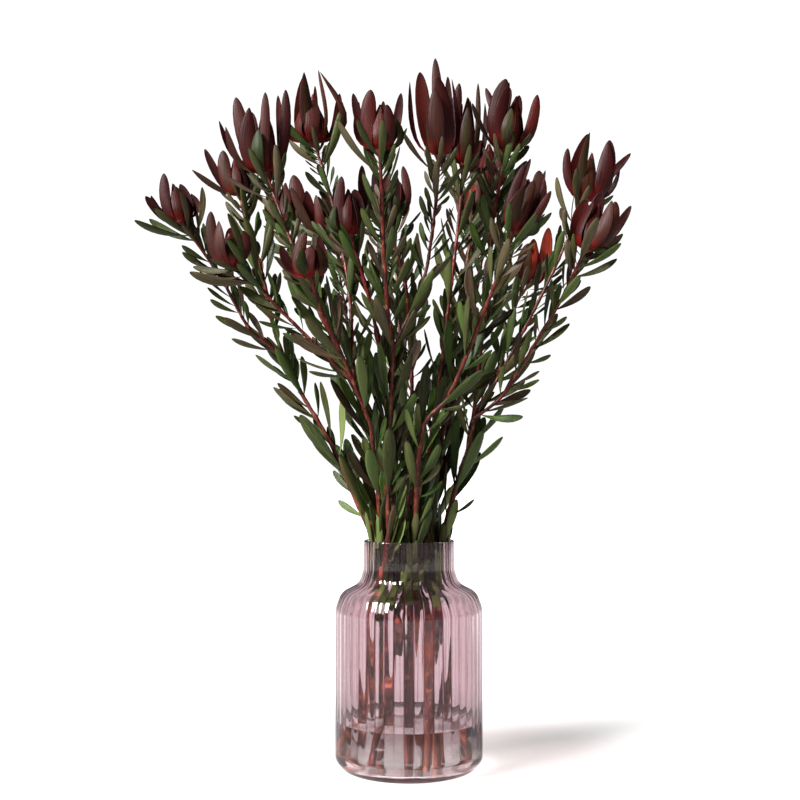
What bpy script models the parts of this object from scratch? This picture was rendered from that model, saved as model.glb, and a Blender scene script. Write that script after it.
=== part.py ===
# A ribbed glass vase with a little water and a bunch of branching leucadendron stems.
# Metres, +Z up. The origin is the middle of the vase's underside, and -Y is the front.
# The vase, the water, each leafy stem and each flower head is an object of its own.

import math

import bmesh
import bpy
from mathutils import Vector
from mathutils.bvhtree import BVHTree

MM = 0.001
GAP = 0.0003

# Vase
VASE_HEIGHT = 0.226
BODY_RADIUS = 0.0735
NECK_RADIUS = 0.045
FOOT_RADIUS = 0.063
FOOT_HEIGHT = 0.011
BODY_TOP = 0.156
NECK_FOOT = 0.193
SHOULDER = ((NECK_RADIUS + 0.0010, NECK_FOOT), (0.0530, 0.1835), (0.0655, 0.1745), (0.0715, 0.1645))
WALL = 0.003
FLOOR = 0.007
FLOOR_EDGE = ((BODY_RADIUS - WALL, 0.0170), (0.0600, FLOOR))
INNER_SHOULDER = ((NECK_RADIUS - WALL, 0.1915), (0.0500, 0.1810), (0.0625, 0.1718), (0.0686, 0.1625))
RIBS = 48
RIB_DEPTH = 0.0009
INNER_STEPS = 24
WATER_LEVEL = 0.048
HOLE_REACH = 0.030
HOLE_CLEARANCE = 0.0006

# The stems turn round each other between the neck and the vase's floor, as in a spiral bunch
BUNCH_TURN = math.radians(-60)
BUNCH_SPREAD = 1.5
STEM_RADIUS = 0.0034
SHOOT_ENDS = ((STEM_RADIUS, 0.0023), (0.0024, 0.0019))
CURVE_SLACK = 0.0007

# Leaves: long and blunt, widest past the middle, smaller towards the heads
GOLDEN_ANGLE = math.radians(137.5)
LOW_SPACING = 0.029
HIGH_SPACING = 0.0205
LOWEST_LEAF = 0.168
LOW_LEAF_LENGTH = 0.062
HIGH_LEAF_LENGTH = 0.043
SHOOT_LEAF_SHARE = 0.86
LEAF_SLIMNESS = 0.215
LEAF_DEPTH = 0.0015
LEAF_FOOT = 0.34
LEAF_CLEARANCE = 0.0005
ROOT_DEPTH = 0.45
FIRST_LEAF = 0.013
LAST_LEAF = 0.010
LEAN = 18
NECK_UPRIGHT = 0.45
LOW_HEIGHT = 0.30
HIGH_HEIGHT = 0.56
LEAF_TRIES = (
    (0, 0, 0, 1.0), (7, 18, 15, 1.0), (-7, -18, -15, 1.0), (0, 38, -20, 0.95), (0, -38, 20, 0.95),
    (12, 60, 0, 0.9), (12, -60, 0, 0.9), (-12, 90, 30, 0.85), (-12, -90, -30, 0.85), (16, 180, 0, 0.8),
)

# A head's core, as (share of its length, share of the bulb's radius), and its bracts
CORE = ((0.0, 0.5), (0.30, 0.8), (0.60, 0.55), (0.90, 0.1))
BRACT_COUNT = 6
BRACT_WIDTH = 1.0
BRACT_FOOT = 0.45
BRACT_DEPTH = 0.0018
THIN_BRACT = 0.0080

# A shoot's points are given as seen from the front by an eye at this distance and height, in mm on the
# plane through the vase's middle: (across, height). Depth is counted from that plane, away from the eye.
EYE_DISTANCE = 1.120
EYE_HEIGHT = 0.298

# neck: where the stem passes the vase's rim, (x, y) in mm. The first shoot is the main stem and goes on
# from there. A side shoot starts where its first point meets the shoot that "on" counts.
STEMS = {
    "stem_01": dict(neck=(-35, -6), shoots=(
        dict(head="head_03", depth=45, path=(
            (-50, 259), (-78, 322), (-109, 375), (-133, 431), (-145, 486), (-160, 534), (-168, 567))),
        dict(head="head_01", depth=-45, on=0, path=(
            (-111, 378), (-133, 414), (-160, 438), (-188, 488), (-225, 541))),
    )),
    "stem_02": dict(neck=(-28, -20), shoots=(
        dict(head="head_09", depth=-118, path=(
            (-33, 286), (-38, 335), (-54, 381), (-68, 413), (-86, 450), (-97, 485))),
        dict(head="head_02", depth=-92, on=0, path=(
            (-56, 384), (-78, 405), (-123, 450), (-152, 482), (-173, 499))),
        dict(head="head_04", depth=-42, on=0, path=(
            (-68, 413), (-93, 461), (-115, 516), (-132, 562), (-140, 586))),
        dict(head="head_05", depth=0, on=0, path=(
            (-54, 381), (-57, 416), (-60, 476), (-69, 526), (-80, 576), (-93, 618))),
        dict(head="head_08", depth=35, on=3, path=(
            (-60, 476), (-70, 508), (-82, 528))),
    )),
    "stem_03": dict(neck=(-21, -31), shoots=(
        dict(head="head_06", depth=-85, path=(
            (-22, 290), (-18, 366), (-16, 414), (-22, 462), (-26, 535), (-29, 611))),
        dict(head="head_11", depth=-35, on=0, path=(
            (-16, 414), (-2, 447), (15, 489), (25, 545), (30, 603))),
    )),
    "stem_04": dict(neck=(-14, -8), shoots=(
        dict(head="head_07", depth=-58, path=(
            (-17, 286), (-21, 350), (-33, 436), (-46, 490), (-58, 526))),
    )),
    "stem_05": dict(neck=(-2, 1), shoots=(
        dict(head="head_10", depth=45, path=(
            (0, 300), (3, 386), (-2, 470), (-13, 516), (-27, 543))),
    )),
    "stem_06": dict(neck=(7, 14), shoots=(
        dict(head="head_12", depth=38, path=(
            (14, 286), (25, 346), (37, 436), (46, 510), (54, 594))),
    )),
    "stem_07": dict(neck=(5, -27), shoots=(
        dict(head="head_14", depth=-92, path=(
            (8, 290), (16, 342), (39, 369), (60, 416), (80, 466), (102, 528))),
    )),
    "stem_08": dict(neck=(34, -8), shoots=(
        dict(head="head_13", depth=5, path=(
            (46, 276), (60, 322), (66, 361), (72, 420), (79, 477), (84, 545), (96, 610))),
        dict(head="head_16", depth=-5, on=0, path=(
            (66, 355), (89, 388), (113, 433), (144, 494), (173, 561))),
        dict(head="head_17", depth=-75, on=0, path=(
            (64, 345), (91, 368), (118, 409), (147, 457), (174, 512))),
        dict(head="head_18", depth=75, on=1, path=(
            (89, 388), (98, 424), (106, 458), (118, 479))),
    )),
    "stem_09": dict(neck=(21, 5), shoots=(
        dict(head="head_15", depth=78, path=(
            (31, 310), (41, 386), (50, 450), (58, 506), (65, 549))),
    )),
    "stem_10": dict(neck=(-20, 20), shoots=(
        dict(head="head_19", depth=128, path=(
            (-32, 300), (-52, 370), (-78, 430), (-104, 490), (-122, 532))),
        dict(head="head_20", depth=165, on=0, path=(
            (-52, 370), (-60, 430), (-68, 480), (-71, 516))),
    )),
    "stem_11": dict(neck=(20, 25), shoots=(
        dict(head="head_21", depth=112, path=(
            (32, 300), (46, 370), (60, 440), (73, 510), (79, 571))),
        dict(head="head_22", depth=150, on=0, path=(
            (46, 370), (72, 430), (96, 490), (111, 541))),
    )),
    "stem_12": dict(neck=(-2, 30), shoots=(
        dict(head="head_23", depth=150, path=(
            (-4, 300), (-6, 370), (-10, 440), (-13, 500), (-14, 544))),
    )),
}

# tips: the bract tips that stand out, as (across, up, away) in mm from the head's foot, seen from the
# front. thin: slender bracts or small leaves that stand off the head. The others follow a rule.
HEADS = {
    "head_01": dict(bulb=11, tips=((-19, 50, -4), (-5, 42, 5)), thin=((-37, 27, -6),)),
    "head_02": dict(bulb=14, tips=((-24, 54, -5), (-8, 42, 14), (9, 34, -10))),
    "head_03": dict(bulb=10, tips=((-18, 48, 0), (2, 46, 6)), thin=((-37, 51, 4),)),
    "head_04": dict(bulb=16, tips=((-32, 80, -6), (-19, 71, 10), (-2, 83, -12), (8, 87, 8), (17, 89, -2))),
    "head_05": dict(bulb=16, tips=((-12, 73, 4), (3, 75, -6), (-2, 66, 12)), thin=((24, 52, -6),)),
    "head_06": dict(bulb=12, tips=((-9, 61, -6), (4, 56, 10), (14, 40, -12)), thin=((-27, 62, 2), (21, 63, 4))),
    "head_07": dict(bulb=11, tips=((-9, 62, -4), (3, 52, 6))),
    "head_08": dict(bulb=10, tips=((-21, 48, 4), (-3, 46, -2)), thin=((-36, 50, 0),)),
    "head_09": dict(bulb=14, tips=((-6, 48, -4), (6, 46, 6)), thin=((-30, 33, -8),)),
    "head_10": dict(bulb=12, tips=((-20, 58, 2), (-7, 50, -8), (14, 49, 6))),
    "head_11": dict(bulb=18, tips=((-19, 92, 4), (-4, 101, -8), (9, 89, 8), (-2, 80, -16))),
    "head_12": dict(bulb=12, tips=((-4, 86, -6), (6, 76, 8), (15, 88, 0))),
    "head_13": dict(bulb=15, tips=((0, 73, -10), (15, 63, 8), (32, 60, -2), (6, 72, 12)), thin=((-19, 68, 2),)),
    "head_14": dict(bulb=14, tips=((20, 80, 4), (12, 70, -10), (35, 69, 6), (39, 45, -6))),
    "head_15": dict(bulb=9, tips=((9, 34, 0), (0, 36, 6))),
    "head_16": dict(bulb=15, tips=((7, 72, 4), (26, 62, -8), (29, 44, 10), (-15, 55, -4)), thin=((49, 52, 2),)),
    "head_17": dict(bulb=15, tips=((20, 63, 4), (31, 50, -8), (4, 56, 8)), thin=((48, 48, 0),)),
    "head_18": dict(bulb=11, tips=((1, 42, -6), (22, 60, 4), (8, 50, 10))),
    "head_19": dict(bulb=14, tips=((-12, 58, 18), (6, 60, 6))),
    "head_20": dict(bulb=13, tips=((-8, 52, 20), (8, 54, 12))),
    "head_21": dict(bulb=13, tips=((-6, 60, 18), (10, 62, 6))),
    "head_22": dict(bulb=14, tips=((2, 54, 22), (20, 56, 8))),
    "head_23": dict(bulb=14, tips=((-6, 56, 22), (8, 58, 10))),
}

COLOURS = {
    "vase": ((0.72, 0.42, 0.46, 1), 0.05),
    "water": ((0.80, 0.82, 0.82, 1), 0.03),
    "stem": ((0.075, 0.115, 0.045, 1), 0.55),
    "head": ((0.090, 0.015, 0.018, 1), 0.45),
}


def chance(*keys):
    # A number from 0 to 1 that depends only on the keys
    mixed = sum(key * step for key, step in zip(keys, (12.9898, 78.233, 37.719, 9.151)))
    return math.sin(mixed) * 43758.5453 % 1.0


def from_front(across, height, depth):
    # The place of a point that is seen at (across, height) and lies this deep, all in mm
    scale = (EYE_DISTANCE + depth * MM) / EYE_DISTANCE
    return Vector((across * MM * scale, depth * MM, EYE_HEIGHT + (height * MM - EYE_HEIGHT) * scale))


def as_seen(point):
    # The reverse: (across, height) in mm of a place
    scale = (EYE_DISTANCE + point.y) / EYE_DISTANCE
    return Vector((point.x / scale, EYE_HEIGHT + (point.z - EYE_HEIGHT) / scale)) / MM


def smooth_line(points):
    # A smooth curve through the points, drawn with as few straight pieces as keep within the slack
    ends = [points[0] * 2 - points[1], *points, points[-1] * 2 - points[-2]]
    fine = []
    for a, b, c, d in zip(ends, ends[1:], ends[2:], ends[3:]):
        for i in range(8):
            t = i / 8
            fine.append(0.5 * (2 * b + (c - a) * t + (2 * a - 5 * b + 4 * c - d) * t * t
                               + (3 * b - a - 3 * c + d) * t * t * t))
    fine.append(points[-1])
    line, first = [fine[0]], 0
    while first < len(fine) - 1:
        last = first + 1
        while last + 1 < len(fine) and chord_slack(fine, first, last + 1) < CURVE_SLACK:
            last += 1
        line.append(fine[last])
        first = last
    return line


def chord_slack(fine, first, last):
    # How far the curve leaves the straight piece between two of its points
    chord = (fine[last] - fine[first]).normalized()
    return max((p - fine[first]).cross(chord).length for p in fine[first:last])


def along(line, distance):
    # The point this far along a line, and the line's direction there
    for p, q in zip(line, line[1:]):
        piece = (q - p).length
        if distance <= piece or q is line[-1]:
            return p.lerp(q, distance / piece), (q - p).normalized()
        distance -= piece


def length_of(line):
    return sum((q - p).length for p, q in zip(line, line[1:]))


def side_axes(direction):
    # Two directions square to this one, the first as near the front as can be
    front = (Vector((0, -1, 0)) + direction * direction.y).normalized()
    return front, direction.cross(front)


def new_object(name, mesh, home):
    made = bpy.data.objects.new(name, mesh)
    home.objects.link(made)
    return made


def tube(name, line, radii, resolution, home):
    # A round bar along a line, with a radius at each point, as a closed mesh
    curve = bpy.data.curves.new(name, "CURVE")
    curve.dimensions = "3D"
    curve.bevel_depth = 1.0
    curve.bevel_resolution = resolution
    curve.use_fill_caps = True
    spline = curve.splines.new("POLY")
    spline.points.add(len(line) - 1)
    for place, point, radius in zip(spline.points, line, radii):
        place.co = (*point, 1)
        place.radius = radius
    bar = new_object(name, curve, home)
    bpy.context.view_layer.update()
    mesh = bpy.data.meshes.new_from_object(bar.evaluated_get(bpy.context.evaluated_depsgraph_get()))
    bpy.data.objects.remove(bar)
    weld(mesh)
    return new_object(name, mesh, home)


def weld(mesh):
    # Closes a curve's loose caps
    work = bmesh.new()
    work.from_mesh(mesh)
    bmesh.ops.remove_doubles(work, verts=work.verts, dist=0.00001)
    bmesh.ops.recalc_face_normals(work, faces=work.faces)
    work.to_mesh(mesh)
    work.free()


def turned(name, profile, steps, home):
    # A solid of revolution: the profile runs from the axis at the top down the outside to the axis
    mesh = bpy.data.meshes.new(name)
    mesh.from_pydata([(r, 0, z) for r, z in profile], [(i, i + 1) for i in range(len(profile) - 1)], [])
    made = new_object(name, mesh, home)
    spin = made.modifiers.new("turn", "SCREW")
    spin.steps = spin.render_steps = steps
    spin.use_merge_vertices = True
    spin.merge_threshold = 0.00001
    bake(made)
    return made


def bake(made):
    # Applies the modifiers
    bpy.context.view_layer.update()
    graph = bpy.context.evaluated_depsgraph_get()
    mesh = bpy.data.meshes.new_from_object(made.evaluated_get(graph))
    made.modifiers.clear()
    made.data = mesh


def blade_solid(sections, tip):
    # A blade of three-cornered sections (left, right, keel) that ends in a point. The first two sections
    # have one shape, so the faces between them are flat. The next ones are split alike all round.
    points = [corner for section in sections for corner in section] + [tip]
    faces = [(0, 2, 1), (0, 1, 4, 3), (1, 2, 5, 4), (2, 0, 3, 5)]
    for first in range(3, 3 * (len(sections) - 1), 3):
        left, right, keel = first, first + 1, first + 2
        faces += [(left, right, right + 3), (left, right + 3, left + 3), (right, keel, right + 3),
                  (keel, keel + 3, right + 3), (keel, left, keel + 3), (left, left + 3, keel + 3)]
    top = 3 * (len(sections) - 1)
    faces += [(top + i, top + (i + 1) % 3, len(points) - 1) for i in range(3)]
    return points, faces


def section_at(place, edge, keel):
    return place - edge, place + edge, place + keel


def leaf_shape(root, direction, sunk, turn, length, lean, roll, start=0.0, grow=0.0):
    # A leaf that leaves the stem at an angle, then bends back along it. start cuts its foot off and grow
    # thickens it, for the test of its clearance.
    front, side = side_axes(direction)
    outward = front * math.cos(turn) + side * math.sin(turn)
    across = direction.cross(outward)
    root = root + outward * sunk
    sections = []
    for share, wide, twist in ((0.36, 0.84, 0.7), (0.76, 0.96, 1.0)):
        heading = leaf_heading(direction, outward, lean, share)
        edge = across * math.cos(roll * twist) + heading.cross(across) * math.sin(roll * twist)
        keel = heading.cross(edge) * (LEAF_DEPTH * (1 - 0.3 * share) + grow)
        edge *= length * LEAF_SLIMNESS * wide / 2 + grow
        if not sections:
            foot_size = LEAF_FOOT + (1 - LEAF_FOOT) * start / share
            foot = root + leaf_path(direction, outward, lean, length, start)
            sections.append(section_at(foot, edge * foot_size, keel * foot_size))
        sections.append(section_at(root + leaf_path(direction, outward, lean, length, share), edge, keel))
    tip = root + leaf_path(direction, outward, lean, length + grow, 1.0)
    return sections, tip


def leaf_heading(direction, outward, lean, share):
    angle = lean * (1.25 - 0.75 * share)
    return direction * math.cos(angle) + outward * math.sin(angle)


def leaf_path(direction, outward, lean, length, share):
    # Follows the heading from the foot to this share of the length
    steps = 6
    place = Vector((0, 0, 0))
    for i in range(steps):
        place += leaf_heading(direction, outward, lean, share * (i + 0.5) / steps) * (share * length / steps)
    return place


class Obstacle:
    # A shape that leaves keep clear of
    def __init__(self, points, faces):
        self.low = [min(p[i] for p in points) for i in range(3)]
        self.high = [max(p[i] for p in points) for i in range(3)]
        self.tree = BVHTree.FromPolygons(points, faces)

    def meets(self, other):
        apart = any(self.low[i] > other.high[i] or self.high[i] < other.low[i] for i in range(3))
        return not apart and bool(self.tree.overlap(other.tree))


def obstacle_of(made):
    mesh = made.data
    return Obstacle([v.co.copy() for v in mesh.vertices], [tuple(p.vertices) for p in mesh.polygons])


def make_vase(home, cutters):
    # The foot, the ribbed body and the shoulder turned in one piece, and hollowed out
    vase = turned("vase", [
        (0, VASE_HEIGHT), (NECK_RADIUS, VASE_HEIGHT), *SHOULDER, (BODY_RADIUS, BODY_TOP),
        (BODY_RADIUS, FOOT_HEIGHT), (FOOT_RADIUS, 0), (0, 0)], 2 * RIBS, home)
    for vertex in vase.data.vertices:
        radius = vertex.co.xy.length
        if radius > WALL:
            rib = 0.5 - 0.5 * math.cos(math.atan2(vertex.co.y, vertex.co.x) * RIBS)
            vertex.co.xy *= 1 - RIB_DEPTH * rib / radius
    above = VASE_HEIGHT + WALL
    inside = turned("vase_inside", [
        (0, above), (NECK_RADIUS - WALL, above), *INNER_SHOULDER, (BODY_RADIUS - WALL, BODY_TOP - 0.001),
        *FLOOR_EDGE, (0, FLOOR)], INNER_STEPS, cutters)
    cut(vase, inside)
    return vase


def make_water(home, stems):
    # Fills the foot of the vase, with a plain hole for each stem
    edge = [(r - GAP, z + GAP) for r, z in FLOOR_EDGE]
    water = turned("water", [(0, WATER_LEVEL), (edge[0][0], WATER_LEVEL), *edge, (0, FLOOR + GAP)],
                   INNER_STEPS, home)
    holes = bpy.data.collections.new("holes")
    bpy.context.scene.collection.children.link(holes)
    for name, lines in stems.items():
        foot, higher = lines[0][0], lines[0][1]
        down = (foot - higher).normalized()
        tube(name + "_hole", [foot + down * HOLE_REACH, foot - down * 2 * HOLE_REACH],
             [STEM_RADIUS + HOLE_CLEARANCE] * 2, 1, holes)
    join(water, holes, "DIFFERENCE")
    return water


def cut(made, cutter):
    # Cuts one shape out of another
    change = made.modifiers.new("cut", "BOOLEAN")
    change.operation = "DIFFERENCE"
    change.object = cutter
    bake(made)
    cutter.hide_render = True
    cutter.display_type = "WIRE"


def join(made, pieces, operation="UNION"):
    # Joins a collection's shapes to one, or cuts them out of it, and removes them
    change = made.modifiers.new("join", "BOOLEAN")
    change.operation = operation
    change.operand_type = "COLLECTION"
    change.collection = pieces
    bake(made)
    for piece in list(pieces.objects):
        bpy.data.objects.remove(piece)
    bpy.data.collections.remove(pieces)
    keep_main_body(made.data)


def keep_main_body(mesh):
    # Fills any hollow that joining has sealed and drops loose scraps, by keeping the largest closed skin
    work = bmesh.new()
    work.from_mesh(mesh)
    waiting, bodies = set(work.faces), []
    while waiting:
        body, edge = set(), [waiting.pop()]
        while edge:
            face = edge.pop()
            body.add(face)
            near = {other for line in face.edges for other in line.link_faces} & waiting
            waiting -= near
            edge += near
        bodies.append(body)
    bodies.sort(key=len)
    for body in bodies[:-1]:
        bmesh.ops.delete(work, geom=list(body), context="FACES")
    work.to_mesh(mesh)
    work.free()


def stem_lines(stem):
    # The line of each shoot: the main stem from the vase's floor, a side shoot from inside its parent
    x, y = (value * MM for value in stem["neck"])
    neck = Vector((x, y, VASE_HEIGHT))
    foot = Vector((x * math.cos(BUNCH_TURN) - y * math.sin(BUNCH_TURN),
                   x * math.sin(BUNCH_TURN) + y * math.cos(BUNCH_TURN), 0)) * BUNCH_SPREAD
    tilt = (neck.xy - foot.xy).length / VASE_HEIGHT
    foot.z = FLOOR + GAP + STEM_RADIUS * math.sin(math.atan(tilt))
    lines = []
    for shoot in stem["shoots"]:
        path = shoot["path"]
        if lines:
            parent = lines[shoot["on"]]
            begin = [min(finely(parent), key=lambda p: (as_seen(p) - Vector(path[0])).length)]
            path = path[1:]
        else:
            begin = [foot, foot.lerp(neck, 0.5), neck]
        start = begin[-1].copy()
        low, high = as_seen(start).y, path[-1][1]
        for across, height in path:
            share = (height - low) / (high - low)
            depth = start.y / MM + share * (shoot["depth"] - start.y / MM)
            begin.append(from_front(across, height, depth))
        lines.append(smooth_line(begin))
    return lines


def finely(line):
    return [p.lerp(q, i / 16) for p, q in zip(line, line[1:]) for i in range(16)] + [line[-1]]


def make_wood(name, stem, lines, home):
    # The bars of a stem and its side shoots, not joined yet
    bars = []
    for order, (shoot, line) in enumerate(zip(stem["shoots"], lines)):
        first, last = SHOOT_ENDS[min(order, 1)]
        radii = [first + (last - first) * i / (len(line) - 1) for i in range(len(line))]
        bars.append(tube(name + "_bar", line, radii, 1 if order == 0 else 0, home))
    return bars


def make_head(name, order, line, home):
    # A head: a core that swells from the stem's tip, and the bracts that close round it and stand off it
    spec = HEADS[name]
    heading = (line[-1] - line[-2]).normalized()
    foot = line[-1] + heading * GAP
    scale = (EYE_DISTANCE + foot.y) / EYE_DISTANCE * MM
    marked = [foot + Vector((x, y, z)) * scale for x, z, y in spec["tips"]]
    thin = [foot + Vector((x, y, z)) * scale for x, z, y in spec.get("thin", ())]
    middle = sum(marked, Vector()) / len(marked) - foot
    axis, length = middle.normalized(), middle.length
    bulb = spec["bulb"] * scale
    front, side = side_axes(axis)
    neck = foot + heading * length * 0.10
    core_line = [foot] + [neck.lerp(foot + axis * length, share) for share, _ in CORE]
    core = tube(name, core_line, [SHOOT_ENDS[0][1]] + [bulb * wide for _, wide in CORE], 1, home)
    bracts = bpy.data.collections.new(name + "_bracts")
    bpy.context.scene.collection.children.link(bracts)
    slots = {}
    for tip, wide in [(tip, bulb * BRACT_WIDTH) for tip in marked] + [(tip, THIN_BRACT) for tip in thin]:
        turn = math.atan2((tip - foot).dot(side), (tip - foot).dot(front))
        free = [i for i in range(BRACT_COUNT) if i not in slots]
        slot = min(free, key=lambda i: 1 - math.cos(i * math.tau / BRACT_COUNT - turn))
        slots[slot] = (tip, wide)
    shapes = []
    for i in range(BRACT_COUNT):
        turn = i * math.tau / BRACT_COUNT
        out = front * math.cos(turn) + side * math.sin(turn)
        if i not in slots:
            tip = (foot + axis * length * (0.74 + 0.22 * chance(order, i, 2))
                   + out * bulb * (0.24 + 0.50 * chance(order, i, 3)))
            slots[i] = (tip, bulb * BRACT_WIDTH)
        shapes.append(bract_shape(neck, axis, out, *slots[i], bulb))
    for sections, tip in shapes:
        mesh = bpy.data.meshes.new(name)
        points, faces = blade_solid(sections, tip)
        mesh.from_pydata(points, [], faces)
        new_object(name + "_bract", mesh, bracts)
    join(core, bracts)
    core.name = name
    return core


def bract_shape(neck, axis, out, tip, width, bulb):
    # A cupped blade that swells out round the core and runs to its tip
    up = (tip - neck).dot(axis)
    off = (tip - neck) - axis * up
    control = (neck + out * bulb * 0.25, neck + axis * up * 0.05 + out * bulb * 1.25,
               neck + axis * up * 0.60 + out * bulb * 0.45 + off * 0.62, tip)
    sections = []
    for t, wide in ((0.36, 0.92), (0.74, 0.88)):
        place = bezier(control, t)
        heading = (bezier(control, t + 0.02) - bezier(control, t)).normalized()
        edge = heading.cross(out).normalized()
        keel = edge.cross(heading) * BRACT_DEPTH
        edge *= width * wide / 2
        if not sections:
            sections.append(section_at(bezier(control, 0.06), edge * BRACT_FOOT, keel * BRACT_FOOT))
        sections.append(section_at(place, edge, keel))
    return sections, tip


def bezier(control, t):
    a, b, c, d = control
    u = 1 - t
    return a * u ** 3 + b * 3 * u * u * t + c * 3 * u * t * t + d * t ** 3


def leaf_places(lines):
    # For each leaf, its shoot and number, its root (place, direction, depth of its foot) and its size
    for order, line in enumerate(lines):
        first, last = SHOOT_ENDS[min(order, 1)]
        total = length_of(line)
        walked, count = FIRST_LEAF, 0
        while walked < total - LAST_LEAF:
            place, direction = along(line, walked)
            rise = min(1, max(0, (place.z - LOW_HEIGHT) / (HIGH_HEIGHT - LOW_HEIGHT)))
            if place.z > LOWEST_LEAF:
                length = LOW_LEAF_LENGTH + (HIGH_LEAF_LENGTH - LOW_LEAF_LENGTH) * rise
                length *= SHOOT_LEAF_SHARE if order else 1
                radius = first + (last - first) * walked / total
                yield order, count, (place, direction, radius * ROOT_DEPTH), length, rise
            count += 1
            walked += LOW_SPACING + (HIGH_SPACING - LOW_SPACING) * rise


def make_leaves(number, lines, home, others, own):
    # Leaves in a spiral up each shoot, each in the first of its turns that clears its neighbours
    placed = 0
    for order, count, root, length, rise in leaf_places(lines):
        key = number * 16 + order
        turn = count * GOLDEN_ANGLE + chance(key, 5) * math.tau
        length *= 0.86 + 0.28 * chance(key, count, 2)
        lean = math.radians(LEAN + 4 * rise + 14 * chance(key, count, 3))
        upright = NECK_UPRIGHT if root[0].z < VASE_HEIGHT + 0.01 else 1
        roll = math.radians(70 * (chance(key, count, 4) - 0.5))
        for lean_more, turn_more, roll_more, share in LEAF_TRIES:
            pose = (*root, turn + math.radians(turn_more), length * share,
                    (lean + math.radians(lean_more)) * upright, roll + math.radians(roll_more))
            test = Obstacle(*blade_solid(*leaf_shape(*pose, start=0.14, grow=LEAF_CLEARANCE)))
            if not any(test.meets(other) for other in others + own):
                break
        else:
            continue
        points, faces = blade_solid(*leaf_shape(*pose))
        mesh = bpy.data.meshes.new("leaf")
        mesh.from_pydata(points, [], faces)
        new_object("leaf", mesh, home)
        own.append(Obstacle(points, faces))
        placed += 1
    return placed


def paint(made, colour):
    shade, roughness = COLOURS[colour]
    material = bpy.data.materials.new(made.name)
    material.use_nodes = True
    surface = material.node_tree.nodes["Principled BSDF"]
    surface.inputs["Base Color"].default_value = shade
    surface.inputs["Roughness"].default_value = roughness
    made.data.materials.clear()
    made.data.materials.append(material)


def main():
    for old in list(bpy.data.objects):
        bpy.data.objects.remove(old)
    home = bpy.data.collections.new("leucadendron_vase")
    cutters = bpy.data.collections.new("cutters")
    for collection in (home, cutters):
        bpy.context.scene.collection.children.link(collection)
    vase = make_vase(home, cutters)
    lines = {name: stem_lines(stem) for name, stem in STEMS.items()}
    water = make_water(home, lines)
    paint(vase, "vase")
    paint(water, "water")
    heads = {}
    for name, stem in STEMS.items():
        for shoot, line in zip(stem["shoots"], lines[name]):
            head = shoot["head"]
            heads[head] = make_head(head, len(heads), line, home)
            paint(heads[head], "head")
    bars = {}
    for name, stem in STEMS.items():
        bars[name] = make_wood(name, stem, lines[name], home)
    fixed = [obstacle_of(made) for made in (vase, *heads.values())]
    shapes = {name: [obstacle_of(bar) for bar in made] for name, made in bars.items()}
    total = 0
    for number, name in enumerate(STEMS):
        leaves = bpy.data.collections.new(name + "_leaves")
        bpy.context.scene.collection.children.link(leaves)
        others = fixed + [shape for other in STEMS if other != name for shape in shapes[other]]
        total += make_leaves(number, lines[name], leaves, others, shapes[name])
        stem, *shoots = bars[name]
        for bar in shoots:
            home.objects.unlink(bar)
            leaves.objects.link(bar)
        join(stem, leaves)
        stem.name = name
        paint(stem, "stem")
    print("leaves", total)


main()
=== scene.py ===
# A vase of leucadendron stems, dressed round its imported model.
# Metres, +Z up, and the front is towards -Y.

from math import atan, atan2, cos, pi, radians, sin, tau

import bpy
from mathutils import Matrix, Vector
from mathutils.bvhtree import BVHTree
from mathutils.kdtree import KDTree


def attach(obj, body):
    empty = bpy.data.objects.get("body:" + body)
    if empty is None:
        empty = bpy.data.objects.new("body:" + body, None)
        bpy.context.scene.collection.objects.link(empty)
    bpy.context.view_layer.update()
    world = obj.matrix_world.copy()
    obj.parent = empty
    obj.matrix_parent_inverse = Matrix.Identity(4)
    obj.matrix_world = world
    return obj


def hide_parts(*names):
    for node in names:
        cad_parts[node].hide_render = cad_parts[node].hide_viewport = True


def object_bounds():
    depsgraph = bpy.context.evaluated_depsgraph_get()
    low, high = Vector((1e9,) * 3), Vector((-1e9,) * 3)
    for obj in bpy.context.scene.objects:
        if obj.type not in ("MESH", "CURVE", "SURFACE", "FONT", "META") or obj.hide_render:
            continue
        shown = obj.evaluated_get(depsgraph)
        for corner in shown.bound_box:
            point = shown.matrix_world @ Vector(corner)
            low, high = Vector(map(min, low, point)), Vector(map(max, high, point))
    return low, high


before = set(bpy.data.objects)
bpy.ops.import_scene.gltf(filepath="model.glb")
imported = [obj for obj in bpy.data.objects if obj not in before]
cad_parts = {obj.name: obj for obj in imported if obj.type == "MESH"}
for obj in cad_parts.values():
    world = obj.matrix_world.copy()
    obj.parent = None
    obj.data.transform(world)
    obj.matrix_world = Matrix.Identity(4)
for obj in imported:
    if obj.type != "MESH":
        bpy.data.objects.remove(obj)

mm = 0.001
cadBox = [list(corner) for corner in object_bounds()]
print("frame loaded:", len(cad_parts), "nodes")

# The camera stands level in front, at this distance and height. One pixel is 1 mm on the plane through
# the vase's middle. The shifts are in pixels.
eye = dict(distance=1.120, height=0.298, frame=800, right=-9, up=68, sensor=36)

# The node tree that is being drawn, which finish, growTree and stageLight set
drawing = dict(tree=None)


def node(kind, inputs=(), **settings):
    made = drawing["tree"].nodes.new(kind)
    for name, value in settings.items():
        setattr(made, name, value)
    feed(made.inputs, inputs)
    return made


def feed(sockets, values):
    # Gives each named socket its value, or a link from the socket that feeds it
    for name, value in dict(values).items():
        if isinstance(value, bpy.types.NodeSocket):
            drawing["tree"].links.new(value, sockets[name])
        else:
            sockets[name].default_value = value


def geo(kind, inputs=(), **settings):
    return node("GeometryNode" + kind, inputs, **settings).outputs[0]


def shade(kind, inputs=(), output=0, **settings):
    return node("ShaderNode" + kind, inputs, **settings).outputs[output]


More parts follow.
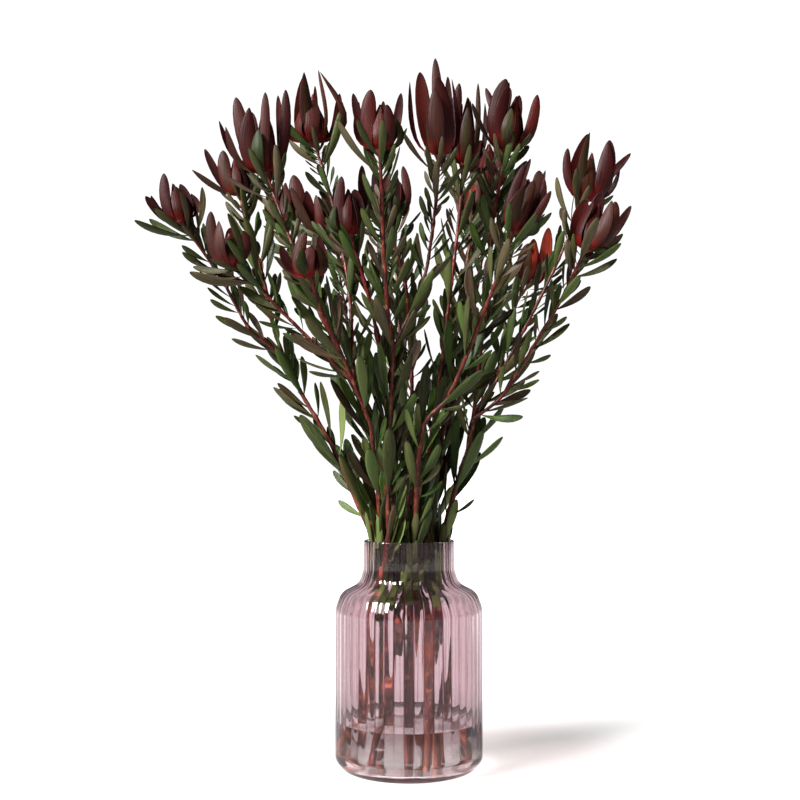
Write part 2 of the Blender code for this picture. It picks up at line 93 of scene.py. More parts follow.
def calc(operation, *values):
    # One maths node, or a row of them for more than two values
    *before, last = values
    if len(before) > 1:
        before = [calc(operation, *before)]
    return shade("Math", dict(enumerate([*before, last])), operation=operation)


def times(*values):
    return calc("MULTIPLY", *values)


def share(value, low, high, toLow=0.0, toHigh=1.0):
    # Maps a value between two limits to a share, smoothly
    return shade("MapRange", {"Value": value, "From Min": low, "From Max": high, "To Min": toLow,
                              "To Max": toHigh}, interpolation_type="SMOOTHSTEP")


def axes(vector):
    return node("ShaderNodeSeparateXYZ", {0: vector}).outputs


def noise(spot, scale, detail):
    return shade("TexNoise", {"Vector": spot, "Scale": scale, "Detail": detail}, "Fac")


def tone(colour, part=1.0):
    # A screen colour, 0 to 255, as the shader wants it, dimmed to a part
    return tuple((c / 255 / 12.92 if c <= 10 else ((c / 255 + 0.055) / 1.055) ** 2.4) * part
                 for c in colour) + (1.0,)


def mixTones(factor, first, second):
    return shade("Mix", {0: factor, 6: first, 7: second}, 2, data_type="RGBA")


def layered(colours, first, *layers):
    # Lays colours over the first one. A layer is (how much of it shows, colour) or (value, from, to, most,
    # colour), which shows more as the value goes from one limit to the other.
    base = tone(colours[first])
    for factor, *limits, name in layers:
        if limits:
            low, high, most = limits
            factor = share(factor, low, high, 0.0, most)
        base = mixTones(factor, base, tone(colours[name]))
    return base


def finish(name, constants):
    # A material whose constants are set on its shader's own sockets
    material = bpy.data.materials.new(name)
    material.use_nodes = True
    drawing["tree"] = material.node_tree
    inputs = material.node_tree.nodes["Principled BSDF"].inputs
    feed(inputs, constants)
    return material, inputs, shade("TexCoord", (), "Object")


def cover(inputs, look, colour, grain, bumps, low=0.3, high=0.8):
    # Feeds the shader its colour, roughness and small bumps
    strength, distance = look["relief"]
    normal = shade("Bump", {"Height": bumps, "Strength": strength, "Distance": distance})
    rough = share(grain, low, high, *look["roughness"])
    feed(inputs, {"Base Color": colour, "Roughness": rough, "Normal": normal})


def growTree(name, sizes):
    # A Geometry Nodes tree with named inputs, which takes a mesh of loose lines as curves
    tree = drawing["tree"] = bpy.data.node_groups.new(name, "GeometryNodeTree")
    for way in ("INPUT", "OUTPUT"):
        tree.interface.new_socket("Geometry", in_out=way, socket_type="NodeSocketGeometry")
    for label, value in sizes.items():
        kind = "NodeSocketInt" if isinstance(value, int) else "NodeSocketFloat"
        tree.interface.new_socket(label, in_out="INPUT", socket_type=kind).default_value = value
    tree.interface.new_socket("Finish", in_out="INPUT", socket_type="NodeSocketMaterial")
    given = tree.nodes.new("NodeGroupInput").outputs
    return given, geo("MeshToCurve", {"Mesh": given["Geometry"]})


def carried(name, kind="FLOAT"):
    # A value that the lines carry
    return geo("InputNamedAttribute", {"Name": name}, data_type=kind)


def swept(line, ring, size):
    return geo("CurveToMesh", {
        "Curve": line, "Profile Curve": ring, "Scale": carried(size), "Fill Caps": True})


def closeTree(mesh, given):
    # The end of each tree: smooth shading, real geometry, the finish
    mesh = geo("SetShadeSmooth", {"Geometry": mesh})
    mesh = geo("RealizeInstances", {"Geometry": mesh})
    mesh = geo("SetMaterial", {"Geometry": mesh, "Material": given["Finish"]})
    node("NodeGroupOutput", {"Geometry": mesh})
    return drawing["tree"]


def linked(name, data):
    made = bpy.data.objects.new(name, data)
    bpy.context.scene.collection.objects.link(made)
    return made


def grow(name, mesh, tree, values):
    # Runs a tree on a mesh and keeps a plain mesh
    seed = linked(name + "Seed", mesh)
    modifier = seed.modifiers.new("grow", "NODES")
    modifier.node_group = tree
    for item in tree.interface.items_tree:
        if item.item_type == "SOCKET" and item.in_out == "INPUT" and item.name in values:
            modifier[item.identifier] = values[item.name]
    bpy.context.view_layer.update()
    graph = bpy.context.evaluated_depsgraph_get()
    grown = bpy.data.meshes.new_from_object(seed.evaluated_get(graph), preserve_all_data_layers=True,
                                            depsgraph=graph)
    bpy.data.objects.remove(seed)
    grown.name = name
    return linked(name, grown)


def place(piece, slot, *nodes):
    # The piece rides on the only body and stands for these CAD nodes
    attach(piece, "root")
    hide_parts(*nodes)


def chains(name, lines):
    # Lines of points as one mesh. A point is a dictionary of its place and named values.
    points = [point for line in lines for point in line]
    edges, first = [], 0
    for line in lines:
        edges += [(i, i + 1) for i in range(first, first + len(line) - 1)]
        first += len(line)
    mesh = bpy.data.meshes.new(name)
    mesh.from_pydata([point["place"] for point in points], edges, [])
    for label, value in points[0].items():
        if label == "place":
            continue
        if isinstance(value, Vector):
            field = mesh.attributes.new(label, "FLOAT_VECTOR", "POINT").data
            field.foreach_set("vector", [c for point in points for c in point[label]])
        else:
            field = mesh.attributes.new(label, "FLOAT", "POINT").data
            field.foreach_set("value", [point[label] for point in points])
    return mesh


# Vase: the wall's corners go up the outside and down the inside, as (radius, height, rounding) in mm.
# ribFoot is (least share of a rib's depth, height where it ends, height where the rib is full).
# valley is a darker pink painted in the rib valleys: painted shade for the dark lines that refraction draws
# there.
glass = dict(
    wall=((0, 2.4, 0), (55, 2.4, 3), (60, 0.3, 2), (66, 0.3, 5), (73.5, 9, 9), (73.5, 40, 0), (73.5, 70, 0),
          (73.5, 158, 22), (67.5, 174, 14), (49.5, 183, 16), (45.5, 197, 16), (45, 226, 1.3), (42, 226, 1.3),
          (42.4, 196, 16), (46.8, 181, 16), (64.8, 171.5, 13), (70.5, 157, 20), (70.5, 17, 8), (60, 7.5, 7),
          (0, 7.5, 0)),
    ribs=48, ribDepth=0.60, ribFoot=(0.04, 40, 70), stepsPerRib=10, roundingSteps=6,
    clear=(214, 201, 204), rich=(207, 190, 195), valley=(158, 110, 119), valleyShadeWidth=0.36,
    foot=(248, 245, 243), fade=(0.006, 0.056), shadow=(238, 236, 235), ior=1.45, roughness=(0.008, 0.032),
    relief=(0.15, 0.0005), absorbed=(0.82, 0.42, 0.52, 1), density=14.0)

# Water: a little over the inner wall, so that no film of air shows. meniscus is how high it climbs, how
# wide it is there, and how far in it starts, in mm.
water = dict(
    level=48, overlap=0.25, meniscus=(0.5, 0.8, 3), sides=24, stepsPerSide=8, roundingSteps=4,
    tint=(250, 252, 252), cloudy=0.96, ior=1.333, roughness=(0.004, 0.020), relief=(0.10, 0.0005))


def glassSkin():
    material, inputs, spot = finish("ribbedGlass", {"IOR": glass["ior"], "Transmission Weight": 1.0})
    x, y, height = axes(spot)
    # The valleys between the ribs are a deeper pink: painted shade, standing in for the dark lines of
    # refraction
    turn = times(calc("ARCTAN2", y, x), glass["ribs"] / 2)
    lobe = calc("ABSOLUTE", calc("COSINE", turn))
    pink = layered(
        glass, "clear", (noise(spot, 9.0, 2.0), "rich"), (lobe, glass["valleyShadeWidth"], 0.0, 1.0, "valley"))
    pink = mixTones(share(height, *glass["fade"]), tone(glass["foot"]), pink)
    cover(inputs, glass, pink, noise(spot, 40.0, 3.0), noise(spot, 55.0, 1.0), 0.5, 0.9)
    depth = shade("VolumeAbsorption", {"Color": glass["absorbed"], "Density": glass["density"]})
    feed(material.node_tree.nodes["Material Output"].inputs, {"Volume": depth})
    return letLightThrough(material, tone(glass["shadow"]))


def waterSkin():
    material, inputs, spot = finish("vaseWater", {"IOR": water["ior"], "Transmission Weight": 1.0})
    haze, clear = noise(spot, 14.0, 2.0), tone(water["tint"])
    base = mixTones(haze, clear, tone(water["tint"], water["cloudy"]))
    cover(inputs, water, base, haze, noise(spot, 30.0, 1.0))
    return letLightThrough(material, clear)


def letLightThrough(material, tint):
    # Lamps shine through the glass and the water, dimmed by the tint at each surface
    nodes = material.node_tree.nodes
    lamp = shade("LightPath", (), "Is Shadow Ray")
    clear = shade("BsdfTransparent", {"Color": tint})
    both = shade("MixShader", {0: lamp, 1: nodes["Principled BSDF"].outputs[0], 2: clear})
    feed(nodes["Material Output"].inputs, {"Surface": both})
    return material


def turningTree():
    # Turns a wall's line round the upright axis and presses ribs into its outside
    given, line = growTree("turnedAndRibbed", {
        "Ribs": 48, "Steps per rib": 8, "Rib depth": 0.0009, "Rounding steps": 5})
    line = geo("FilletCurve", {"Curve": line, "Count": given["Rounding steps"], "Limit Radius": True,
                               "Radius": carried("rounding")}, mode="POLY")
    # The line lies in XZ and the sweep reads it in XY, with Y down
    hub = 0.02
    x, _, z = axes(geo("InputPosition"))
    flat = shade("CombineXYZ", {0: calc("SUBTRACT", x, hub), 1: times(z, -1.0)})
    line = geo("SetPosition", {"Geometry": line, "Position": flat})
    steps = times(given["Ribs"], given["Steps per rib"])
    ring = geo("CurvePrimitiveCircle", {"Resolution": steps, "Radius": hub})
    ring = geo("SetCurveNormal", {"Curve": ring}, mode="Z_UP")
    wall = geo("CurveToMesh", {"Curve": ring, "Profile Curve": line})
    wall = geo("MergeByDistance", {"Geometry": wall, "Distance": 0.00001})
    # Ribs are round lobes with sharp valleys, pressed in from the outside
    x, y, _ = axes(geo("InputPosition"))
    turn = times(calc("ARCTAN2", y, x), given["Ribs"], 0.5)
    lobe = calc("POWER", calc("COSINE", turn), 2.0)
    valley = calc("SUBTRACT", 1.0, calc("SQRT", calc("ADD", lobe, 0.004)))
    press = times(valley, given["Rib depth"], carried("outside"))
    square = calc("ADD", times(x, x), times(y, y))
    scale = calc("DIVIDE", press, calc("MAXIMUM", calc("SQRT", square), 0.001))
    inward = {i: times(side, scale, -1.0) for i, side in enumerate((x, y))}
    wall = geo("SetPosition", {"Geometry": wall, "Offset": shade("CombineXYZ", inward)})
    wall = geo("FlipFaces", {"Mesh": wall})     # the sweep leaves them inwards
    return closeTree(wall, given)


def wallLine(name, corners):
    # The wall's line in the XZ plane. outside is the share of the ribs' depth there.
    top = max(range(len(corners)), key=lambda i: corners[i][1])
    least, fade, full = glass["ribFoot"]
    points = [dict(place=(r * mm, 0, z * mm), rounding=rounding * mm,
                   outside=(0 < i <= top) * min(1.0, max(least, (z - fade) / (full - fade))))
              for i, (r, z, rounding) in enumerate(corners)]
    return chains(name, [points])


turning = turningTree()
vaseGlass = grow("vaseGlass", wallLine("vaseWall", glass["wall"]), turning, {
    "Ribs": glass["ribs"], "Steps per rib": glass["stepsPerRib"], "Rib depth": glass["ribDepth"] * mm,
    "Rounding steps": glass["roundingSteps"], "Finish": glassSkin()})
place(vaseGlass, "vase_glass", "vase")
print("vase made:", len(vaseGlass.data.polygons), "faces")

(insideEdge, bottomTurn, _), (innerEdge, innerFloor, _) = glass["wall"][-3:-1]
level, edge, low = water["level"], insideEdge + water["overlap"], innerFloor - water["overlap"]
climb, lip, slope = water["meniscus"]
waterWall = ((0, low, 0), (innerEdge, low, 7), (edge, bottomTurn, 8), (edge, level + climb, 0),
             (edge - lip, level + climb, 0.5), (edge - slope, level, 2), (0, level, 0))
waterFill = grow("waterFill", wallLine("waterEdge", waterWall), turning, {
    "Ribs": water["sides"], "Steps per rib": water["stepsPerSide"], "Rib depth": 0.0,
    "Rounding steps": water["roundingSteps"], "Finish": waterSkin()})
place(waterFill, "water", "water")
print("water made:", len(waterFill.data.polygons), "faces")


# The bunch, in mm: each stem passes the vase's rim at (x, y) and has shoots of (head, how far behind the
# vase's middle it ends, the shoot that it starts on, path). A path is (across, height) as the eye sees it.
bunch = {
    "01": ((-35, -6), (
        ("03", 45, None, ((-50, 259), (-78, 322), (-109, 375), (-133, 431), (-145, 486), (-160, 534),
            (-168, 567))),
        ("01", -45, 0, ((-111, 378), (-133, 414), (-160, 438), (-188, 488), (-225, 541))),)),
    "02": ((-28, -20), (
        ("09", -118, None, ((-33, 286), (-38, 335), (-54, 381), (-68, 413), (-86, 450), (-97, 485))),
        ("02", -92, 0, ((-56, 384), (-78, 405), (-123, 450), (-152, 482), (-173, 499))),
        ("04", -42, 0, ((-68, 413), (-93, 461), (-115, 516), (-132, 562), (-140, 586))),
        ("05", 0, 0, ((-54, 381), (-57, 416), (-60, 476), (-69, 526), (-80, 576), (-93, 618))),
        ("08", 35, 3, ((-60, 476), (-70, 508), (-82, 528))),)),
    "03": ((-21, -31), (
        ("06", -85, None, ((-22, 290), (-18, 366), (-16, 414), (-22, 462), (-26, 535), (-29, 611))),
        ("11", -35, 0, ((-16, 414), (-2, 447), (15, 489), (25, 545), (30, 603))),)),
    "04": ((-14, -8), (
        ("07", -58, None, ((-17, 286), (-21, 350), (-33, 436), (-46, 490), (-58, 526))),)),
    "05": ((-2, 1), (
        ("10", 45, None, ((0, 300), (3, 386), (-2, 470), (-13, 516), (-27, 543))),)),
    "06": ((7, 14), (
        ("12", 38, None, ((14, 286), (25, 346), (37, 436), (46, 510), (54, 594))),)),
    "07": ((5, -27), (
        ("14", -92, None, ((8, 290), (16, 342), (39, 369), (60, 416), (80, 466), (102, 528))),)),
    "08": ((34, -8), (
        ("13", 5, None, ((46, 276), (60, 322), (66, 361), (72, 420), (79, 477), (84, 545), (96, 610))),
        ("16", -5, 0, ((66, 355), (89, 388), (113, 433), (144, 494), (173, 561))),
        ("17", -75, 0, ((64, 345), (91, 368), (118, 409), (147, 457), (174, 512))),
        ("18", 75, 1, ((89, 388), (98, 424), (106, 458), (118, 479))),)),
    "09": ((21, 5), (
        ("15", 78, None, ((31, 310), (41, 386), (50, 450), (58, 506), (65, 549))),)),
    "10": ((-20, 20), (
        ("19", 128, None, ((-32, 300), (-52, 370), (-78, 430), (-104, 490), (-122, 532))),
        ("20", 165, 0, ((-52, 370), (-60, 430), (-68, 480), (-71, 516))),)),
    "11": ((20, 25), (
        ("21", 112, None, ((32, 300), (46, 370), (60, 440), (73, 510), (79, 571))),
        ("22", 150, 0, ((46, 370), (72, 430), (96, 490), (111, 541))),)),
    "12": ((-2, 30), (
        ("23", 150, None, ((-4, 300), (-6, 370), (-10, 440), (-13, 500), (-14, 544))),)),
}

# The stems' wood, in metres. Above the rim it thins to the slender share within the thinning height.
wood = dict(
    rim=0.226, floor=0.007, gap=0.0003, bunchTurn=radians(-60), bunchSpread=1.5, radius=0.0034,
    ends=((0.0034, 0.0023), (0.0024, 0.0019)), slack=0.0007, joints=16, curve=8,
    sides=10, knots=0.0040, bend=4, step=0.0025, slender=0.78, thinning=0.10,
    low=(70, 17, 12), pale=(150, 74, 36), high=(92, 26, 20), fresh=(108, 22, 19), dark=(20, 7, 5),
    light=(172, 84, 64), tan=(140, 80, 56), scar=(168, 96, 64), roughness=(0.36, 0.61),
    relief=(0.5, 0.0004))

# The heads: tips are the bract tips that stand out, as (across, up, away) in mm from the head's foot, slim
# their shares of the width, and thin the slender ones off the head. leafy are greener ones in front of the
# rest, as (across, up, away, width, share of green, swell). red is how fresh the red is, bud how full the
# closed middle is, low how high the other bracts reach, and swell how far all of them stand out.
plainHead = dict(thin=(), leafy=(), slim=(1.0,) * 4, red=0.0, bud=1.0, low=1.0, swell=1.0)
heads = {
    "01": dict(bulb=11, tips=((-19, 50, -4), (-5, 42, 5)), thin=((-37, 27, -6),), bud=0.85, slim=(0.9, 0.8),
        leafy=((6, 32, 4, 10, 1.0, 1.4), (-33, 30, 2, 9, 0.9, 1.2))),
    "02": dict(bulb=14, bud=0.9, low=0.8, tips=((-24, 54, -5), (-8, 42, 14), (9, 34, -10)),
        slim=(0.75, 0.85, 0.55), leafy=((-14, 42, -16, 13, 0.1, 1.2),)),
    "03": dict(bulb=10, tips=((-18, 48, 0), (2, 46, 6)), thin=((-37, 51, 4),), slim=(1.2, 0.8),
        leafy=((-48, 28, -4, 7, 0.3, 1.0),)),
    "04": dict(bulb=16, bud=0.75, swell=0.85, tips=((-32, 80, -6), (-19, 71, 10), (-2, 83, -12), (8, 87, 8),
        (17, 89, -2)), slim=(0.8, 0.95, 0.55, 0.45, 0.60), leafy=((-18, 68, -12, 18, 0.0, 1.1),
        (-8, 45, -18, 14, 1.0, 1.2), (-50, 60, 2, 8, 0.9, 1.2), (-42, 51, -6, 9, 0.1, 1.2))),
    "05": dict(bulb=16, tips=((-12, 73, 4), (3, 75, -6), (-2, 66, 12)), thin=((24, 52, -6),),
        slim=(0.70, 0.22, 0.3), red=0.12, low=0.72, leafy=((4, 76, 2, 7, 0.1, 2.1),
        (-25, 21, 4, 10, 0.0, 1.0), (-11, 71, -12, 14, 0.35, 0.5))),
    "06": dict(bulb=14, bud=0.9, low=1.0, swell=0.78, tips=((-9, 62, -8), (3, 57, 10), (7, 46, -12)),
        thin=((-27, 62, 2), (21, 63, 4)), slim=(1.0, 0.5, 0.7),
        leafy=((-21, 54, 4, 9, 0.1, 1.3), (15, 36, -4, 9, 0.8, 1.3))),
    "07": dict(bulb=11, tips=((-9, 62, -4), (3, 52, 6)), slim=(0.95, 1.2),
        leafy=((-15, 32, -8, 8, 1.0, 1.4),)),
    "08": dict(bulb=10, tips=((-21, 48, 4), (-3, 46, -2)), thin=((-36, 50, 0),), slim=(1.0, 1.2),
        leafy=((-33, 47, -8, 10, 0.3, 1.1),)),
    "09": dict(bulb=14, low=0.8, tips=((-6, 48, -4), (6, 46, 6)), slim=(0.75, 0.6), thin=((-30, 33, -8),),
        leafy=((-7, 29, -17, 12, 0.9, 1.2),)),
    "10": dict(bulb=12, tips=((-20, 58, 2), (-7, 50, -8), (14, 49, 6)), slim=(0.7, 0.8, 0.65),
        leafy=((13, 26, -8, 9, 0.8, 1.3),)),
    "11": dict(bulb=16, bud=0.55, swell=0.66, tips=((-19, 92, 4), (-4, 101, -8), (9, 89, 8), (-2, 80, -16)),
        slim=(0.85, 0.6, 0.45, 0.8), leafy=((-5, 68, -20, 18, 0.12, 0.85), (-29, 82, 2, 6, 0.8, 1.2),
        (13, 86, 6, 5, 0.6, 1.2))),
    "12": dict(bulb=12, bud=0.85, tips=((-4, 86, -6), (6, 76, 8), (15, 88, 0)), slim=(0.85, 0.65, 0.4),
        leafy=((4, 59, -16, 13, 0.5, 1.2), (22, 70, 4, 6, 0.5, 1.3))),
    "13": dict(bulb=15, bud=0.85, tips=((0, 73, -10), (15, 63, 8), (32, 60, -2), (6, 72, 12)),
        thin=((-19, 68, 2),), slim=(1.05, 0.8, 0.65, 0.9), leafy=((5, 42, -17, 13, 0.8, 1.1),
        (34, 50, -2, 5, 0.2, 1.1), (3, 69, -11, 14, 0.0, 1.1))),
    "14": dict(bulb=13, bud=0.75, swell=0.85, tips=((20, 80, 4), (12, 70, -10), (35, 69, 6), (39, 45, -6)),
        slim=(0.55, 0.65, 0.4, 0.55), leafy=((12, 48, -16, 15, 0.4, 1.1), (26, 17, -6, 9, 1.0, 1.2))),
    "15": dict(bulb=9, tips=((9, 34, 0), (0, 36, 6)), red=0.5),
    "16": dict(bulb=15, bud=0.70, tips=((7, 72, 4), (26, 62, -8), (29, 44, 10), (-15, 55, -4)),
        thin=((49, 52, 2),), slim=(0.75, 0.9, 0.8, 0.5), leafy=((5, 68, -14, 10, 0.6, 1.0),
        (38, 37, 2, 6, 0.1, 1.1), (24, 60, -10, 17, 0.0, 1.0))),
    "17": dict(bulb=14, bud=0.85, swell=0.9, tips=((20, 63, 4), (31, 50, -8), (4, 56, 8)),
        thin=((48, 48, 0),), leafy=((26, 49, -16, 15, 0.08, 1.0), (20, 5, -8, 9, 1.0, 1.2))),
    "18": dict(bulb=11, tips=((1, 42, -6), (22, 60, 4), (8, 50, 10)), red=1.0,
        leafy=((2, 38, -13, 8, 0.7, 1.2),)),
    "19": dict(bulb=14, tips=((-12, 58, 18), (6, 60, 6))),
    "20": dict(bulb=13, tips=((-8, 52, 20), (8, 54, 12))),
    "21": dict(bulb=13, tips=((-6, 60, 18), (10, 62, 6))),
    "22": dict(bulb=14, tips=((2, 54, 22), (20, 56, 8))),
    "23": dict(bulb=14, bud=0.8, tips=((-6, 56, 22), (8, 58, 10)), slim=(0.65, 0.55)),
}


def chance(*keys):
    # A number from 0 to 1 that depends only on the keys
    mixed = sum(key * step for key, step in zip(keys, (12.9898, 78.233, 37.719, 9.151)))
    return sin(mixed) * 43758.5453 % 1.0


def between(ends, part):
    low, high = ends
    return low + (high - low) * part


def turned(first, second, angle):
    # A direction turned from one towards another that is square to it
    return first * cos(angle) + second * sin(angle)


def farther(depth):
    # The size of a thing at this depth over the size that it seems to have
    return (eye["distance"] + depth) / eye["distance"]


def fromFront(across, height, depth):
    # The point seen at (across, height) that lies this deep, all in mm
    scale = farther(depth * mm)
    return Vector((across * mm * scale, depth * mm, eye["height"] + (height * mm - eye["height"]) * scale))


def asSeen(point):
    scale = farther(point.y)
    return Vector((point.x / scale, eye["height"] + (point.z - eye["height"]) / scale)) / mm


def curved(points, steps):
    # A smooth curve through the points
    ends = [points[0] * 2 - points[1], *points, points[-1] * 2 - points[-2]]
    fine = []
    for a, b, c, d in zip(ends, ends[1:], ends[2:], ends[3:]):
        for i in range(steps):
            t = i / steps
            fine.append(0.5 * (2 * b + (c - a) * t + (2 * a - 5 * b + 4 * c - d) * t * t
                               + (3 * b - a - 3 * c + d) * t * t * t))
    return fine + [points[-1]]


def thinned(fine):
    # As few of the curve's points as keep within the slack
    line, first = [fine[0]], 0
    while first < len(fine) - 1:
        last = first + 1
        while last + 1 < len(fine) and chordSlack(fine, first, last + 1) < wood["slack"]:
            last += 1
        line.append(fine[last])
        first = last
    return line


def chordSlack(fine, first, last):
    chord = (fine[last] - fine[first]).normalized()
    return max((p - fine[first]).cross(chord).length for p in fine[first:last])


def along(line, distance):
    # The point this far along a line, and the line's direction there
    for p, q in zip(line, line[1:]):
        piece = (q - p).length
        if distance <= piece or q is line[-1]:
            return p.lerp(q, distance / piece), (q - p).normalized()
        distance -= piece


def lengthOf(line):
    return sum((q - p).length for p, q in zip(line, line[1:]))


def sideAxes(direction):
    # Two directions square to this one, the first as near the front as can be
    front = (Vector((0, -1, 0)) + direction * direction.y).normalized()
    return front, direction.cross(front)


def stemLines(rimPlace, shoots):
    # Each shoot's line: the main stem's from the vase's floor, a side shoot's from inside its parent
    x, y = (value * mm for value in rimPlace)
    neck, turn = Vector((x, y, wood["rim"])), wood["bunchTurn"]
    foot = Vector((x * cos(turn) - y * sin(turn),
                   x * sin(turn) + y * cos(turn), 0)) * wood["bunchSpread"]
    tilt = (neck.xy - foot.xy).length / wood["rim"]
    foot.z = wood["floor"] + wood["gap"] + wood["radius"] * sin(atan(tilt))
    lines = []
    for _, depth, on, path in shoots:
        if lines:
            parent, steps = lines[on], wood["joints"]
            fine = [p.lerp(q, i / steps) for p, q in zip(parent, parent[1:]) for i in range(steps)]
            begin = [min(fine + parent[-1:], key=lambda p: (asSeen(p) - Vector(path[0])).length)]
            path = path[1:]
        else:
            begin = [foot, foot.lerp(neck, 0.5), neck]
        start = begin[-1].copy()
        low, high = asSeen(start).y, path[-1][1]
        for across, height in path:
            rise = (height - low) / (high - low)
            begin.append(fromFront(across, height, start.y / mm + rise * (depth - start.y / mm)))
        lines.append(thinned(curved(begin, wood["curve"])))
    return lines


bunchLines = {mark: stemLines(*stem) for mark, stem in bunch.items()}
print("bunch laid out:", sum(len(lines) for lines in bunchLines.values()), "shoots")


def reading(name):
    # A value that the piece's mesh carries
    return shade("Attribute", (), "Fac", attribute_name=name)


def barkSkin():
    # Brown at the cut foot, redder up the stem, with lengthwise streaks and darker knots
    material, inputs, spot = finish("redBark", {
        "Specular IOR Level": 0.35, "Coat Weight": 0.08, "Coat Roughness": 0.35})
    height = axes(spot)[2]
    ageing = times(share(reading("tint"), 0.62, 0.9), share(height, 0.34, 0.20))
    lengthwise = shade("Mapping", {"Vector": spot, "Scale": (1.0, 1.0, 0.12)})
    streak = noise(lengthwise, 700.0, 3.0)
    scars = shade("TexVoronoi", {"Vector": spot, "Scale": 90.0}, "Distance")
    base = layered(
        wood, "low", (height, 0.12, 0.24, 1.0, "high"), (ageing, "pale"),
        (reading("young"), 0.55, 1.0, 1.0, "fresh"),
        (noise(spot, 70.0, 2.0), 0.42, 0.7, 0.7, "dark"), (streak, 0.5, 0.72, 0.65, "dark"),
        (streak, 0.46, 0.30, 0.6, "light"), (noise(spot, 26.0, 2.0), 0.54, 0.68, 0.35, "tan"),
        (scars, 0.30, 0.16, 0.6, "scar"))
    cover(inputs, wood, base, streak, streak)
    return material


def barkTree():
    # A round bar along each line, with the line's own radius and small knots
    given, line = growTree("barkAlongLines", {
        "Sides": 10, "Knot height": 0.0003, "Knot scale": 130.0, "Step": 0.003})
    line = geo("ResampleCurve", {"Curve": line, "Length": given["Step"]}, mode="LENGTH")
    ring = geo("CurvePrimitiveCircle", {"Resolution": given["Sides"], "Radius": 1.0})
    bar = swept(line, ring, "size")
    knots = shade("TexNoise", {"Scale": given["Knot scale"], "Detail": 2.0}, "Fac")
    knots = calc("MAXIMUM", calc("SUBTRACT", knots, 0.52), -0.04)
    lift = times(knots, given["Knot height"])
    out = shade("VectorMath", {0: geo("InputNormal"), "Scale": lift}, operation="SCALE")
    bar = geo("SetPosition", {"Geometry": bar, "Offset": out})
    return closeTree(bar, given)


# Leaves, in metres and degrees. spacing and lengths are for the lower and the upper of the heights, limits
# are (first, last, lowest), tries are (lean, turn, roll, share of the length), and outline is (share of the
# length, share of the half width). A packed leaf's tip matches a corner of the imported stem. The leaves
# between come in rounds of (sizes, spacing, limits) and face the front no more than frontMost.
leaf = dict(
    golden=radians(137.5), spacing=(0.029, 0.0205), lengths=(0.062, 0.043), heights=(0.30, 0.56),
    limits=(0.013, 0.010, 0.168), shootShare=0.86, slimness=0.215, depth=0.0015, foot=0.34,
    clearance=0.0005, rootDepth=0.45, lean=18, neckUpright=0.45, match=0.00012, topSlim=0.16,
    tries=((0, 0, 0, 1.0), (7, 18, 15, 1.0), (-7, -18, -15, 1.0), (0, 38, -20, 0.95), (0, -38, 20, 0.95),
           (12, 60, 0, 0.9), (12, -60, 0, 0.9), (-12, 90, 30, 0.85), (-12, -90, -30, 0.85),
           (16, 180, 0, 0.8)),
    outline=((0, 0.16), (0.07, 0.24), (0.16, 0.40), (0.28, 0.62), (0.41, 0.82), (0.54, 0.95), (0.66, 1.0),
             (0.78, 0.92), (0.88, 0.73), (0.945, 0.51), (0.985, 0.27), (1.0, 0.08)),
    betweenRounds=(((0.56, 1.04), (0.0160, 0.0070), (0.009, 0.004, 0.128)),
                   ((0.46, 0.90), (0.045, 0.0098), (0.006, 0.004, 0.128))),
    betweenLean=(-4, -9), betweenRange=16, betweenSlim=0.94, frontMost=0.45, faceRoll=32,
    collar=8, collarFirst=0.003, collarStep=0.0030, collarLean=16, collarLengths=(0.030, 0.060),
    collarSlim=0.72, neckSpacing=(0.0065, 0.0065), neckLimits=(0, 0, 0.150), neckLean=2,
    neckLengths=(0.036, 0.056),
    beyond=0.008, sides=10, thickness=0.10, cup=0.22, groove=0.05,
    deep=(4, 22, 3), olive=(60, 94, 27), pale=(130, 140, 86), mauve=(58, 29, 24), dusty=(84, 62, 55),
    rim=(28, 11, 7), rib=(92, 102, 36), roughness=(0.36, 0.56), relief=(0.5, 0.0006))


def bladeTree():
    # A blade along each line, a cupped and hollowed lens with the line's own half width and facing
    given, line = growTree("bladesAlongLines", {
        "Sides": 10, "Thickness": 0.09, "Cup": 0.15, "Groove": 0.05})
    facing = carried("facing", "FLOAT_VECTOR")
    line = geo("SetCurveNormal", {"Curve": line, "Normal": facing}, mode="FREE")
    ring = geo("CurvePrimitiveCircle", {"Resolution": given["Sides"], "Radius": 1.0})
    x, y, _ = axes(geo("InputPosition"))
    for label, side in (("across", y), ("upper", x)):
        ring = geo("StoreNamedAttribute", {"Geometry": ring, "Name": label, "Value": side},
                   data_type="FLOAT", domain="POINT")
    # x is the thickness. The middle is hollowed and the edges are lifted.
    square = times(y, y)
    hollow = times(calc("SUBTRACT", 1.0, square), -1.0, given["Groove"])
    deep = calc("ADD", hollow, times(square, given["Cup"]), times(x, given["Thickness"]))
    flat = shade("CombineXYZ", {0: deep, 1: y})
    ring = geo("SetPosition", {"Geometry": ring, "Position": flat})
    return closeTree(swept(line, ring, "halfWidth"), given)


def leafHeading(direction, outward, lean, part):
    return turned(direction, outward, lean * (1.25 - 0.75 * part))


def leafPath(direction, outward, lean, length, part):
    # Follows the heading from the foot to this share of the length
    steps, spot = 6, Vector((0, 0, 0))
    for i in range(steps):
        spot += leafHeading(direction, outward, lean, part * (i + 0.5) / steps) * (part * length / steps)
    return spot


def leafFrame(root, direction, sunk, turn):
    # The way a leaf faces, the way across it, and where it starts
    outward = turned(*sideAxes(direction), turn)
    return outward, direction.cross(outward), root + outward * sunk


